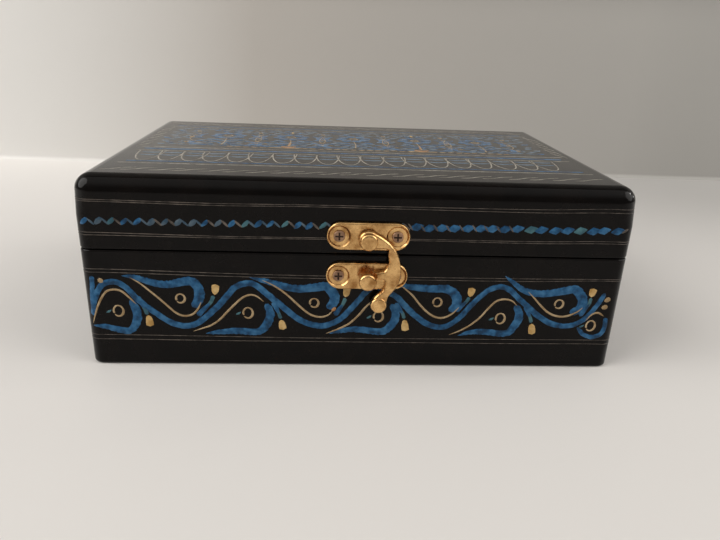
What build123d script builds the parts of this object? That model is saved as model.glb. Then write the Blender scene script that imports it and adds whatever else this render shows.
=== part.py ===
from build123d import *

import os
from math import radians, tan

# Lacquered papier-mache box with a hinged lid, a cloth lining and a brass swing latch.
# Its shells are thin boards joined at the corners: a floor with four walls, and a top
# with four rails. Millimetres. X runs along the front to the right, Y from the front
# to the back, Z up. The origin is the middle of the underside.

# ---- Box ----
width = 190.0
depth = 128.0
height = 68.6
rim_height = 43.35  # top of the base's rim above the underside
seam_gap = 0.3  # between the two rims when the lid is shut
wall = 7.5
floor_thickness = 6.0
top_thickness = 6.0
corner_radius = 4.0  # upright corners
foot_radius = 1.2  # round the underside
crown_radius = 5.6  # round the top of the lid
top_corner_radius = 5.65  # the lid's corners are sanded rounder upwards, to this under its top
rounding_height = 55.0  # where that starts
rim_easing = 0.6  # outer edge of each rim

# ---- Lining ----
lining = 1.0
floor_lining = 1.2
top_pad = 2.0
lining_reveal = 1.2  # bare rim left above the lining

# ---- Hinges: small butt hinges let into the rims ----
hinge_x = 56.0  # hinge centres, left and right of the middle
hinge_length = 22.0
hinge_inset = 1.2  # pin axis in front of the back face
knuckle_radius = 1.5
knuckle_clearance = 0.25
knuckle_gap = 0.2
middle_knuckle = 7.6
pin_radius = 0.6
pin_clearance = 0.04
leaf_thickness = 0.9
leaf_margin = 0.7  # leaf edge behind the inner face of the wall
mortise_clearance = 0.1
stop_angle = 107.0  # the bevelled back edges meet here and stop the lid
hinge_screw_spacing = 13.0
hinge_screw_length = 6.0
hinge_screw_radius = 0.6
hinge_screw_head_radius = 1.15
hinge_hole_clearance = 0.03
countersink_angle = 82.0

# ---- Latch: plate and hooked arm on the lid, plate and stud on the base ----
latch_x = 2.3
lid_plate_rise = 6.9  # plate centre above the seam
pivot_drop = 0.8  # pivot under the centre of the lid plate
base_plate_drop = 7.45  # plate centre under the seam
stud_drop = 0.25  # stud under the centre of the base plate
plate_length = 28.3
plate_height = 9.7
plate_thickness = 1.7
plate_edge = 0.6
dish_depth = 0.7
dish_top_radius = 3.9
dish_floor_radius = 3.3
latch_screw_offset = 9.9  # either side of the plate centre
latch_screw_radius = 0.8
latch_screw_length = 6.0
latch_screw_head_radius = 2.0
latch_screw_head_height = 0.75
screw_hole_clearance = 0.15
pivot_radius = 1.25
pivot_clearance = 0.06
button_radius = 3.0  # heads of the pivot rivet and the stud
button_edge = 0.95
rivet_head = 1.7
stud_radius = 1.1
stud_head = 1.6
arm_gap = 0.3  # arm off the plate
arm_thickness = 2.1
arm_edge = 0.9
arm_play = 0.2  # arm under the rivet head
hub_radius = 3.45
knob_radius = 2.85
knob_rise = 0.5  # knob proud of the arm
knob_edge = 0.8
knob_x = 4.3  # knob centre to the right of the stud
knob_drop = 9.6  # knob centre under the stud
lift_room = 1.2  # stud head clear of the knob, which swings out as the lid rises

# ---- Worked out from the sizes above ----
lid_bottom = rim_height + seam_gap
seam_z = rim_height + seam_gap / 2
top_underside = height - top_thickness
inner_width = width - 2 * wall
inner_depth = depth - 2 * wall
hinge_y = depth / 2 - hinge_inset
leaf_inner_y = inner_depth / 2 + leaf_margin
leaf_outer_y = hinge_y - knuckle_radius - knuckle_clearance
leaf_middle_y = (leaf_inner_y + leaf_outer_y) / 2
groove_radius = knuckle_radius + knuckle_clearance
lid_plate_z = seam_z + lid_plate_rise
base_plate_z = seam_z - base_plate_drop
pivot_z = lid_plate_z - pivot_drop
stud_z = base_plate_z - stud_drop
dish_floor = plate_thickness - dish_depth
arm_back = plate_thickness + arm_gap
arm_face = arm_back + arm_thickness
rivet_underside = arm_face + arm_play
stud_underside = arm_face + knob_rise + lift_room
screw_bite = latch_screw_length - dish_floor  # length of a latch screw inside the board

UP, DOWN = 1, -1
LEFT, RIGHT = -1, 1
FRONT, BACK = -1, 1

# ---- Places and cutters that several pieces share ----


def in_front(distance):
    """Plane parallel to the front of the box, this far out from it."""
    return Plane.XZ.offset(depth / 2 + distance)


def front_spots(z, distance, offsets):
    """Frames at this height on the front, their Z axes pointing out of the box."""
    return [
        Plane(
            origin=(latch_x + offset, -depth / 2 - distance, z),
            x_dir=(1, 0, 0),
            z_dir=(0, -1, 0),
        )
        for offset in offsets
    ]


def latch_screw_spots(z, distance):
    return front_spots(z, distance, (-latch_screw_offset, latch_screw_offset))


def hinge_screw_spots(side):
    """Frames on the leaf faces under (DOWN) or over (UP) the seam, pointing into it."""
    return [
        Plane(
            origin=(centre + offset, leaf_middle_y, seam_z + side * seam_gap / 2),
            x_dir=(1, 0, 0),
            z_dir=(0, 0, -side),
        )
        for centre in (-hinge_x, hinge_x)
        for offset in (-hinge_screw_spacing / 2, hinge_screw_spacing / 2)
    ]


def hinge_seats(side):
    """What the stop bevel, the hinges and their screws take out of a back board."""
    face = seam_z + side * seam_gap / 2
    beyond = hinge_inset + wall
    with BuildPart() as seats:
        with BuildSketch(Plane.YZ.offset(-width / 2)):
            with BuildLine():
                Polyline(
                    (hinge_y, seam_z),
                    (hinge_y + beyond, seam_z + side * beyond * tan(radians(stop_angle / 2))),
                    (hinge_y + beyond, seam_z),
                    close=True,
                )
            make_face()
        extrude(amount=width)
        for centre in (-hinge_x, hinge_x):
            with Locations((centre, (leaf_inner_y + hinge_y) / 2, face)):
                Box(
                    hinge_length + 2 * mortise_clearance,
                    hinge_y - leaf_inner_y + 2 * mortise_clearance,
                    2 * leaf_thickness,
                )
            with Locations((centre, hinge_y, seam_z)):
                Cylinder(groove_radius, hinge_length + 2 * knuckle_gap, rotation=(0, 90, 0))
        with Locations(*hinge_screw_spots(side)):
            Cylinder(
                hinge_screw_radius,
                hinge_screw_length,
                align=(Align.CENTER, Align.CENTER, Align.MAX),
            )
    return seats.part


# ---- Boards ----


def long_board(corners, side, rim):
    """Board across the whole front or back, through (height, radius of its outer corners) pairs.

    rim says which end, UP or DOWN, is eased.
    """
    with BuildPart() as board:
        for z, radius in corners:
            with BuildSketch(Plane.XY.offset(z)):
                with Locations((0, side * (depth - wall) / 2)):
                    Rectangle(width, wall)
                fillet(vertices().sort_by(Axis.Y, reverse=side == BACK)[:2], radius)
        loft(ruled=True)
        rim_edges = faces().sort_by(Axis.Z, reverse=rim == UP)[0].edges()
        fillet(rim_edges.sort_by(Axis.Y, reverse=side == BACK)[:-1], rim_easing)
    return board


def side_board(low, high, side, rim):
    """Board between the long boards, at the left or right."""
    with BuildPart() as board:
        with Locations((side * (width - wall) / 2, 0, low)):
            Box(wall, inner_depth, high - low, align=(Align.CENTER, Align.CENTER, Align.MIN))
        rim_edges = faces().sort_by(Axis.Z, reverse=rim == UP)[0].edges()
        fillet(rim_edges.sort_by(Axis.X, reverse=side == RIGHT)[0], rim_easing)
    return board


def drill_front(board, z):
    """The board again, with the two pilot holes of a latch plate."""
    with BuildPart() as drilled:
        add(board.part)
        with Locations(*latch_screw_spots(z, 0)):
            Cylinder(
                latch_screw_radius,
                screw_bite,
                align=(Align.CENTER, Align.CENTER, Align.MAX),
                mode=Mode.SUBTRACT,
            )
    return drilled


def let_in_hinges(board, side):
    """The board again, with its bevel and the seats of both hinges."""
    with BuildPart() as seated:
        add(board.part)
        add(hinge_seats(side), mode=Mode.SUBTRACT)
    return seated


with BuildPart() as base_floor_panel:
    with BuildSketch():
        RectangleRounded(width, depth, corner_radius)
    extrude(amount=floor_thickness)
    fillet(faces().sort_by(Axis.Z)[0].edges(), foot_radius)

base_corners = ((floor_thickness, corner_radius), (rim_height, corner_radius))
base_front_wall = drill_front(long_board(base_corners, FRONT, UP), base_plate_z)
base_back_wall = let_in_hinges(long_board(base_corners, BACK, UP), DOWN)
base_left_wall = side_board(floor_thickness, rim_height, LEFT, UP)
base_right_wall = side_board(floor_thickness, rim_height, RIGHT, UP)

with BuildPart() as lid_top_panel:
    with BuildSketch(Plane.XY.offset(top_underside)):
        RectangleRounded(width, depth, top_corner_radius)
    extrude(amount=top_thickness)
    fillet(faces().sort_by(Axis.Z)[-1].edges(), crown_radius)

lid_corners = (
    (lid_bottom, corner_radius),
    (rounding_height, corner_radius),
    (top_underside, top_corner_radius),
)
lid_front_rail = drill_front(long_board(lid_corners, FRONT, DOWN), lid_plate_z)
lid_back_rail = let_in_hinges(long_board(lid_corners, BACK, DOWN), UP)
lid_left_rail = side_board(lid_bottom, top_underside, LEFT, DOWN)
lid_right_rail = side_board(lid_bottom, top_underside, RIGHT, DOWN)

# ---- Lining ----


def lining_band(low, high):
    """Cloth round the inside of the four walls."""
    with BuildPart() as band:
        with BuildSketch(Plane.XY.offset(low)):
            Rectangle(inner_width, inner_depth)
            Rectangle(inner_width - 2 * lining, inner_depth - 2 * lining, mode=Mode.SUBTRACT)
        extrude(amount=high - low)
    return band


def lining_sheet(low, thickness):
    """Cloth across the box, inside the band."""
    with BuildPart() as sheet:
        with BuildSketch(Plane.XY.offset(low)):
            Rectangle(inner_width - 2 * lining, inner_depth - 2 * lining)
        extrude(amount=thickness)
    return sheet


base_side_lining = lining_band(floor_thickness, rim_height - lining_reveal)
base_floor_lining = lining_sheet(floor_thickness, floor_lining)
lid_side_lining = lining_band(lid_bottom + lining_reveal, top_underside)
lid_top_lining = lining_sheet(top_underside - top_pad, top_pad)

# ---- Hinges ----


def hinge_leaf(centre, side, knuckles):
    """Leaf in the rim under (DOWN) or over (UP) the seam, with its knuckles' X spans."""
    face = seam_z + side * seam_gap / 2
    leaf_low = min(face, face + side * leaf_thickness)
    with BuildPart() as leaf:
        with BuildSketch(Plane.XY.offset(leaf_low)):
            with Locations((centre, leaf_middle_y)):
                Rectangle(hinge_length, leaf_outer_y - leaf_inner_y)
        extrude(amount=leaf_thickness)
        for start, end in knuckles:
            with BuildSketch(Plane.YZ.offset(centre + start)):
                with Locations((hinge_y, seam_z)):
                    Circle(knuckle_radius)
                with Locations((leaf_outer_y, leaf_low)):
                    Rectangle(hinge_y - leaf_outer_y, leaf_thickness, align=Align.MIN)
            extrude(amount=end - start)
        with Locations((centre, hinge_y, seam_z)):
            Cylinder(
                pin_radius + pin_clearance,
                hinge_length,
                rotation=(0, 90, 0),
                mode=Mode.SUBTRACT,
            )
        screw_spots = [spot for spot in hinge_screw_spots(side) if spot.origin.X * centre > 0]
        with Locations(*screw_spots):
            CounterSinkHole(
                hinge_screw_radius + hinge_hole_clearance,
                hinge_screw_head_radius + hinge_hole_clearance,
                depth=hinge_screw_length,
                counter_sink_angle=countersink_angle,
            )
    return leaf


def hinge_pin(centre):
    with BuildPart() as pin:
        with Locations((centre, hinge_y, seam_z)):
            Cylinder(pin_radius, hinge_length, rotation=(0, 90, 0))
    return pin


def hinge_screws(side):
    """The four slotted, countersunk screws of the leaves on one side of the seam."""
    top = (Align.CENTER, Align.CENTER, Align.MAX)
    sink = (hinge_screw_head_radius - hinge_screw_radius) / tan(radians(countersink_angle / 2))
    slot_width = hinge_screw_radius / 2
    slot_depth = sink / 2
    with BuildPart() as screws:
        with Locations(*hinge_screw_spots(side)):
            Cylinder(hinge_screw_radius, hinge_screw_length, align=top)
            Cone(hinge_screw_radius, hinge_screw_head_radius, sink, align=top)
            Box(
                2 * hinge_screw_head_radius,
                slot_width,
                slot_depth,
                align=top,
                mode=Mode.SUBTRACT,
            )
    return screws


outer_knuckles = (
    (-hinge_length / 2, -middle_knuckle / 2 - knuckle_gap),
    (middle_knuckle / 2 + knuckle_gap, hinge_length / 2),
)
inner_knuckles = ((-middle_knuckle / 2, middle_knuckle / 2),)

left_hinge_base_leaf = hinge_leaf(-hinge_x, DOWN, outer_knuckles)
left_hinge_lid_leaf = hinge_leaf(-hinge_x, UP, inner_knuckles)
left_hinge_pin = hinge_pin(-hinge_x)
right_hinge_base_leaf = hinge_leaf(hinge_x, DOWN, outer_knuckles)
right_hinge_lid_leaf = hinge_leaf(hinge_x, UP, inner_knuckles)
right_hinge_pin = hinge_pin(hinge_x)
hinge_base_screws = hinge_screws(DOWN)
hinge_lid_screws = hinge_screws(UP)

# ---- Latch ----


def latch_plate(plate_z, post_z, post_radius):
    """Round-ended plate with a dish round each screw and a hole for its rivet."""
    top = (Align.CENTER, Align.CENTER, Align.MAX)
    with BuildPart() as plate:
        with BuildSketch(in_front(0)):
            with Locations((latch_x, plate_z)):
                SlotOverall(plate_length, plate_height)
        extrude(amount=plate_thickness)
        fillet(faces().sort_by(Axis.Y)[0].edges(), plate_edge)
        with Locations(*latch_screw_spots(plate_z, plate_thickness)):
            Cone(dish_floor_radius, dish_top_radius, dish_depth, align=top, mode=Mode.SUBTRACT)
            Cylinder(
                latch_screw_radius + screw_hole_clearance,
                plate_thickness,
                align=top,
                mode=Mode.SUBTRACT,
            )
        with Locations(*front_spots(post_z, plate_thickness, (0,))):
            Cylinder(post_radius, plate_thickness, align=top, mode=Mode.SUBTRACT)
    return plate


def button(post_z, post_radius, underside, head):
    """Rivet or stud: a post from the plate's back, with a rounded button head."""
    bottom = (Align.CENTER, Align.CENTER, Align.MIN)
    with BuildPart() as post:
        with Locations(*front_spots(post_z, 0, (0,))):
            Cylinder(post_radius, underside, align=bottom)
        with Locations(*front_spots(post_z, underside, (0,))):
            Cylinder(button_radius, head, align=bottom)
        fillet(edges().filter_by(GeomType.CIRCLE).sort_by(Axis.Y)[0], button_edge)
    return post


def latch_screws(plate_z):
    """The two cross-head screws of a plate, seated on the floors of its dishes."""
    bottom = (Align.CENTER, Align.CENTER, Align.MIN)
    top = (Align.CENTER, Align.CENTER, Align.MAX)
    cross_length = 1.3 * latch_screw_head_radius
    cross_width = 0.25 * latch_screw_head_radius
    cross_depth = 0.7 * latch_screw_head_height
    with BuildPart() as screws:
        with Locations(*latch_screw_spots(plate_z, dish_floor)):
            Cylinder(latch_screw_radius, latch_screw_length, align=top)
            Cylinder(latch_screw_head_radius, latch_screw_head_height, align=bottom)
        rims = edges().filter_by(GeomType.CIRCLE).group_by(Axis.Y)[0]
        fillet(rims, latch_screw_head_height / 2)
        with Locations(*latch_screw_spots(plate_z, dish_floor + latch_screw_head_height)):
            Box(cross_length, cross_width, cross_depth, align=top, mode=Mode.SUBTRACT)
            Box(cross_width, cross_length, cross_depth, align=top, mode=Mode.SUBTRACT)
    return screws


def from_pivot(x, z):
    return (latch_x + x, pivot_z + z)


def from_stud(x, z):
    return (latch_x + x, stud_z + z)


latch_lid_plate = latch_plate(lid_plate_z, pivot_z, pivot_radius)
latch_pivot_rivet = button(pivot_z, pivot_radius, rivet_underside, rivet_head)
latch_lid_screws = latch_screws(lid_plate_z)
latch_base_plate = latch_plate(base_plate_z, stud_z, stud_radius)
latch_stud = button(stud_z, stud_radius, stud_underside, stud_head)
latch_base_screws = latch_screws(base_plate_z)

# The arm hangs from its hub, bows out to the right of the stud, reaches back to it with
# a short prong over an open mouth, and ends in a round thumb knob under the mouth.
with BuildPart() as latch_arm:
    with BuildSketch(in_front(arm_back)):
        with BuildLine():
            Spline(
                from_pivot(1.7, 3.0),
                from_pivot(6.1, 0.2),
                from_pivot(9.5, -3.6),
                from_pivot(11.05, -7.7),
                from_stud(11.4, 1.5),
                from_stud(10.8, -1.8),
                from_stud(8.4, -5.4),
                from_stud(knob_x + knob_radius, -knob_drop),
                tangents=((3.0, -1.7), (0, -1)),
            )
            Line(
                from_stud(knob_x + knob_radius, -knob_drop),
                from_stud(knob_x - knob_radius, -knob_drop),
            )
            Spline(
                from_stud(knob_x - knob_radius, -knob_drop),
                from_stud(2.2, -7.6),
                from_stud(3.6, -5.8),
                from_stud(5.3, -4.4),
                from_stud(6.2, -2.5),
                from_stud(6.1, -0.7),
                from_stud(5.3, 0),
                tangents=((0, 1), (-1, 0.1)),
            )
            Line(from_stud(5.3, 0), from_stud(2.5, 0))
            ThreePointArc(from_stud(2.5, 0), from_stud(2.7, 1.3), from_stud(2.2, 2.6))
            Line(from_stud(2.2, 2.6), from_stud(5.2, 3.0))
            Spline(
                from_stud(5.2, 3.0),
                from_stud(6.5, 4.4),
                from_pivot(7.1, -7.3),
                from_pivot(6.7, -4.4),
                from_pivot(5.2, -2.7),
                tangents=((1, 0.2), (-1, 0)),
            )
            Line(from_pivot(5.2, -2.7), from_pivot(1.0, -2.7))
            Line(from_pivot(1.0, -2.7), from_pivot(1.7, 3.0))
        make_face()
        with Locations(from_pivot(0, 0)):
            Circle(hub_radius)
        with Locations(from_stud(knob_x, -knob_drop)):
            Circle(knob_radius)
        with Locations(from_pivot(0, 0)):
            Circle(pivot_radius + pivot_clearance, mode=Mode.SUBTRACT)
    extrude(amount=arm_thickness)
    front_edges = faces().sort_by(Axis.Y)[0].outer_wire().edges()
    fillet(front_edges, arm_edge)
    with BuildSketch(in_front(arm_back)):
        with Locations(from_stud(knob_x, -knob_drop)):
            Circle(knob_radius)
    extrude(amount=arm_thickness + knob_rise)
    fillet(edges().filter_by(GeomType.CIRCLE).sort_by(Axis.Y)[0], knob_edge)

# ---- Files ----
pieces = {
    "base_floor_panel": base_floor_panel,
    "base_front_wall": base_front_wall,
    "base_back_wall": base_back_wall,
    "base_left_wall": base_left_wall,
    "base_right_wall": base_right_wall,
    "base_side_lining": base_side_lining,
    "base_floor_lining": base_floor_lining,
    "lid_top_panel": lid_top_panel,
    "lid_front_rail": lid_front_rail,
    "lid_back_rail": lid_back_rail,
    "lid_left_rail": lid_left_rail,
    "lid_right_rail": lid_right_rail,
    "lid_side_lining": lid_side_lining,
    "lid_top_lining": lid_top_lining,
    "left_hinge_base_leaf": left_hinge_base_leaf,
    "left_hinge_lid_leaf": left_hinge_lid_leaf,
    "left_hinge_pin": left_hinge_pin,
    "right_hinge_base_leaf": right_hinge_base_leaf,
    "right_hinge_lid_leaf": right_hinge_lid_leaf,
    "right_hinge_pin": right_hinge_pin,
    "hinge_base_screws": hinge_base_screws,
    "hinge_lid_screws": hinge_lid_screws,
    "latch_lid_plate": latch_lid_plate,
    "latch_pivot_rivet": latch_pivot_rivet,
    "latch_lid_screws": latch_lid_screws,
    "latch_base_plate": latch_base_plate,
    "latch_stud": latch_stud,
    "latch_base_screws": latch_base_screws,
    "latch_arm": latch_arm,
}

os.makedirs("parts", exist_ok=True)
for name, piece in pieces.items():
    piece.part.label = name
    export_step(piece.part, f"parts/{name}.step")
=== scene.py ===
import itertools
import math

import bpy
import numpy as np
from mathutils import Matrix, Vector, noise


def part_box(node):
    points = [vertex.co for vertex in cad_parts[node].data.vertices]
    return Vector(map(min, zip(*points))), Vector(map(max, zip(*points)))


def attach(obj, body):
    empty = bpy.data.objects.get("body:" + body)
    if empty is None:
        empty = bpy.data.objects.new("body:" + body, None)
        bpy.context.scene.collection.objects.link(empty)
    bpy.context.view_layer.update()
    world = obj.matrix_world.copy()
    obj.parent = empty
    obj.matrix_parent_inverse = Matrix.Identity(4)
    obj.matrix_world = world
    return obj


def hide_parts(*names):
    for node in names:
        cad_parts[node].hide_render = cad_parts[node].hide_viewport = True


# Looks of a black lacquered papier-mache box: its painted vine, borders and top, its velvet
# lining and its brass latch and hinges. Drawings are in millimetres, as seen from outside:
# along a wall and then up it, or along X and then along Y on the top.

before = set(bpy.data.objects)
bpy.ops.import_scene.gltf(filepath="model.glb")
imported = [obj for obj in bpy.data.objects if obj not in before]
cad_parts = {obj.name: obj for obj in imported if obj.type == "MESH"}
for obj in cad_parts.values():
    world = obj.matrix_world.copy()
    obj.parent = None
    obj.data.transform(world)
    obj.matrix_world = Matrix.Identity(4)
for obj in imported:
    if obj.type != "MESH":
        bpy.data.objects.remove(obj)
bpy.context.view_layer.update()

MM = 0.001  # metres
panel_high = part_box("base_floor_panel")[1]
HALF_WIDTH = panel_high.x / MM
HALF_DEPTH = panel_high.y / MM
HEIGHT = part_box("lid_top_panel")[1].z / MM
CORNER = 4.0  # radius of the upright corners
ROUNDING_HEIGHT = 55.0  # they round up above this
RAIL_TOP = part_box("lid_front_rail")[1].z / MM
TOP_ROUNDING = 1.65  # by this much at the top of the lid's rails
WALL_X = HALF_WIDTH - CORNER  # half the flat length of the front and back
WALL_Y = HALF_DEPTH - CORNER
CORNER_ARC = math.pi / 2 * CORNER
GIRTH = 4 * (WALL_X + WALL_Y + CORNER_ARC)
RIGHT_CENTRE = WALL_X + CORNER_ARC + WALL_Y  # middles of the other walls, along the girth
BACK_CENTRE = GIRTH / 2
LEFT_CENTRE = -RIGHT_CENTRE

rng = np.random.default_rng(7)
stroke_seeds = itertools.count()

# ---- Surfaces that the drawings are laid on ----


def on_walls(s, z, lift):
    """Points in metres on the four walls. s runs to the right round the box, from the front's middle."""
    s = np.mod(s, GIRTH)
    rounder = TOP_ROUNDING * np.clip((z - ROUNDING_HEIGHT) / (RAIL_TOP - ROUNDING_HEIGHT), 0, 1)
    radius = CORNER + rounder
    x, y = np.zeros_like(s), np.zeros_like(s)
    start = 0.0
    for turn in range(4):
        half, next_half = (WALL_X, WALL_Y) if turn % 2 == 0 else (WALL_Y, WALL_X)
        run, flat = s - start, half - rounder
        arc = CORNER_ARC + 2 * rounder
        bend = np.clip((run - flat) / arc, 0, 1) * math.pi / 2
        along = np.minimum(run, flat) + (radius + lift) * np.sin(bend)
        past = np.maximum(run - flat - arc, 0)
        away = next_half - rounder + (radius + lift) * np.cos(bend) - past
        angle = turn * math.pi / 2
        here = (run >= 0) & (run <= half + CORNER_ARC + next_half)
        x = np.where(here, along * math.cos(angle) + away * math.sin(angle), x)
        y = np.where(here, along * math.sin(angle) - away * math.cos(angle), y)
        start += half + CORNER_ARC + next_half
    return np.stack([x, y, z], axis=-1) * MM


def on_top(x, y, lift):
    """Points in metres on the flat of the lid's top."""
    return np.stack([x, y, HEIGHT + lift], axis=-1) * MM


# ---- Brush strokes ----

# Section of a stroke from its left edge to its right one: half widths and thicknesses.
SECTION = ((1.0, -0.5), (0.78, 0.7), (0.0, 1.0), (-0.78, 0.7), (-1.0, -0.5))
PAINT_STEP = 0.42  # between the points of a stroke
FINE_STEP = 0.25  # in a small one
CURVE_STEPS = 12  # of the curve between two drawn points
THINNEST = 0.04  # half width that a stroke never goes under
NOTCH_LENGTH = 1.7
TOOTH_LENGTH = 1.55


def smooth_path(points, step):
    """Evenly spaced points on the Catmull-Rom curve through these, and how far along each lies."""
    p = np.array(points, float)
    p = np.vstack([2 * p[0] - p[1], p, 2 * p[-1] - p[-2]])
    t = np.linspace(0, 1, CURVE_STEPS + 1)[:-1, None]
    spans = [
        0.5 * (2 * b + (c - a) * t + (2 * a - 5 * b + 4 * c - d) * t**2 + (3 * b - a - 3 * c + d) * t**3)
        for a, b, c, d in zip(p, p[1:], p[2:], p[3:])
    ]
    fine = np.vstack([*spans, p[-2:-1]])
    run = np.concatenate([[0], np.cumsum(np.hypot(*np.diff(fine, axis=0).T))])
    marks = np.linspace(0, run[-1], max(4, round(run[-1] / step) + 1))
    path = np.column_stack([np.interp(marks, run, fine[:, k]) for k in (0, 1)])
    return path, marks


def bristle_edge(marks, amount):
    """How far the brush strays past one edge of a stroke: slow waves with small notches."""
    seed = 5.3 * next(stroke_seeds)
    waves = np.array([noise.noise(Vector((0.6 * m, seed, 0))) for m in marks])
    notches = np.mod(marks / NOTCH_LENGTH + 2 * waves + seed, 1) - 0.5
    return amount * (waves + 0.6 * notches)


def comb_edge(marks, amount):
    """Saw teeth along the outer edge of a stroke, where the brush was pressed again and again."""
    seed = 3.7 * next(stroke_seeds)
    pace = np.array([noise.noise(Vector((0.25 * m, seed, 2.0))) for m in marks])
    return amount * (np.mod(marks / TOOTH_LENGTH + 1.2 * pace, 1) - 0.35)


def stroke(points, widths, tapers=(0.6, 0.6), ragged=0.0, comb=0.0, step=PAINT_STEP):
    """Centre line of a stroke, its direction to the left, and its left and right half widths."""
    path, marks = smooth_path(points, step)
    along = np.gradient(path, axis=0)
    along /= np.hypot(*along.T)[:, None]
    left = np.column_stack([-along[:, 1], along[:, 0]])
    length = marks[-1]
    width = np.interp(marks / length, np.linspace(0, 1, len(widths)), widths)
    for away, taper in ((marks, tapers[0]), (length - marks, tapers[1])):
        width *= np.sqrt(1 - (1 - np.clip(away / taper, 0, 1)) ** 2)
    halves = [width / 2 + bristle_edge(marks, ragged) * (width > 0.4) for _ in range(2)]
    if comb:
        bends = np.sum(np.gradient(along[:, 0]) * along[:, 1] - np.gradient(along[:, 1]) * along[:, 0])
        halves[0 if bends > 0 else 1] += comb_edge(marks, comb) * (width > 1.2)
    return path, left, *(np.maximum(half, THINNEST) for half in halves)


def raised(line, place, thickness):
    """The loft of one stroke: its section carried along it on the surface."""
    path, left, half_left, half_right = line
    rings = []
    for across, up in SECTION:
        half = half_left if across > 0 else half_right
        edge = path + left * (across * half)[:, None]
        rings.append(place(edge[:, 0], edge[:, 1], np.full(len(path), up * thickness)))
    return np.stack(rings, axis=1), False


# ---- Meshes ----


def add_piece(name, body, material, lofts):
    """One mesh of closed lofts, each its rings of points and whether the last ring joins the first."""
    points, faces, start = [], [], 0
    for rings, closed in lofts:
        count, sides = rings.shape[:2]
        index = start + np.arange(count * sides).reshape(count, sides)
        here, ahead = (index, np.roll(index, -1, axis=0)) if closed else (index[:-1], index[1:])
        quads = np.stack([here, np.roll(here, -1, 1), np.roll(ahead, -1, 1), ahead], axis=-1)
        faces += quads.reshape(-1, 4).tolist()
        if not closed:
            faces += [index[0, ::-1].tolist(), index[-1].tolist()]
        points.append(rings.reshape(-1, 3))
        start += count * sides
    mesh = bpy.data.meshes.new(name)
    mesh.from_pydata(np.vstack(points).tolist(), [], faces)
    mesh.shade_smooth()
    mesh.set_sharp_from_angle(angle=math.radians(60))
    mesh.materials.append(material)
    piece = bpy.data.objects.new(name, mesh)
    bpy.context.scene.collection.objects.link(piece)
    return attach(piece, body)


def add_paint(name, body, material, strokes, place, thickness):
    """One piece of raised strokes, all in one paint."""
    add_piece(name, body, material, [raised(line, place, thickness) for line in strokes])


# ---- Materials ----


def new_material(name):
    """A material, its nodes and its shader."""
    material = bpy.data.materials.new(name)
    material.use_nodes = True
    return material, material.node_tree, material.node_tree.nodes["Principled BSDF"]


def noise_field(tree, size, detail=4.0, stretch=(1, 1, 1)):
    """A noise between 0 and 1 whose features are this many millimetres across."""
    place = tree.nodes.new("ShaderNodeTexCoord")
    scale = tree.nodes.new("ShaderNodeMapping")
    scale.inputs["Scale"].default_value = [k / (size * MM) for k in stretch]
    field = tree.nodes.new("ShaderNodeTexNoise")
    field.inputs["Scale"].default_value = 1.0
    field.inputs["Detail"].default_value = detail
    tree.links.new(place.outputs["Object"], scale.inputs["Vector"])
    tree.links.new(scale.outputs["Vector"], field.inputs["Vector"])
    return field.outputs["Fac"]


def ramp(tree, value, stops):
    """Colour of a value. stops are (value, colour) pairs."""
    node = tree.nodes.new("ShaderNodeValToRGB")
    while len(node.color_ramp.elements) < len(stops):
        node.color_ramp.elements.new(0.5)
    for element, (place, colour) in zip(node.color_ramp.elements, stops):
        element.position = place
        element.color = (*colour, 1)
    tree.links.new(value, node.inputs["Fac"])
    return node.outputs["Color"]


def uneven_material(name, stops, size, detail=4.0):
    """A material whose colour follows a noise, its nodes and its shader."""
    material, tree, shader = new_material(name)
    tree.links.new(ramp(tree, noise_field(tree, size, detail), stops), shader.inputs["Base Color"])
    return material, tree, shader


def spread(tree, value, low, high):
    """The value carried from its usual 0.3 to 0.7 into low to high."""
    node = tree.nodes.new("ShaderNodeMapRange")
    node.inputs["From Min"].default_value = 0.3
    node.inputs["From Max"].default_value = 0.7
    node.inputs["To Min"].default_value = low
    node.inputs["To Max"].default_value = high
    tree.links.new(value, node.inputs["Value"])
    return node.outputs["Result"]


def bump(tree, layers):
    """A normal from (height, depth in millimetres) layers, one over the other."""
    normal = None
    for height, depth in layers:
        node = tree.nodes.new("ShaderNodeBump")
        node.inputs["Distance"].default_value = depth * MM
        tree.links.new(height, node.inputs["Height"])
        if normal:
            tree.links.new(normal, node.inputs["Normal"])
        normal = node.outputs["Normal"]
    return normal


def varnish(tree, shader, normal):
    """The clear coat that covers the lacquer and the paint alike."""
    shader.inputs["Coat Weight"].default_value = 1.0
    shader.inputs["Coat Roughness"].default_value = 0.05
    shader.inputs["Coat IOR"].default_value = 1.22
    shader.inputs["Specular IOR Level"].default_value = 0.02
    tree.links.new(normal, shader.inputs["Normal"])
    tree.links.new(normal, shader.inputs["Coat Normal"])


def lacquer_material():
    """Black lacquer over boards that aren't quite flat."""
    stops = ((0.35, (0.0012, 0.0008, 0.0007)), (0.65, (0.0030, 0.0019, 0.0015)))
    material, tree, shader = uneven_material("black_lacquer", stops, 9.0)
    tree.links.new(spread(tree, noise_field(tree, 4.0), 0.3, 0.5), shader.inputs["Roughness"])
    slow_waves, fine_skin = noise_field(tree, 26.0, 1.0), noise_field(tree, 1.3, 2.0)
    varnish(tree, shader, bump(tree, ((slow_waves, 0.05), (fine_skin, 0.0025))))
    return material


def paint_material(name, *colours, places=(0.35, 0.65), roughness=0.5, metallic=0.0):
    """Brush paint under the varnish, uneven along each stroke from its first colour to its last."""
    material, tree, shader = uneven_material(name, list(zip(places, colours)), 2.6, 6.0)
    tree.links.new(
        spread(tree, noise_field(tree, 1.0), roughness - 0.1, roughness + 0.1), shader.inputs["Roughness"]
    )
    shader.inputs["Metallic"].default_value = metallic
    varnish(tree, shader, bump(tree, ((noise_field(tree, 0.5, 3.0), 0.02),)))
    return material


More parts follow.
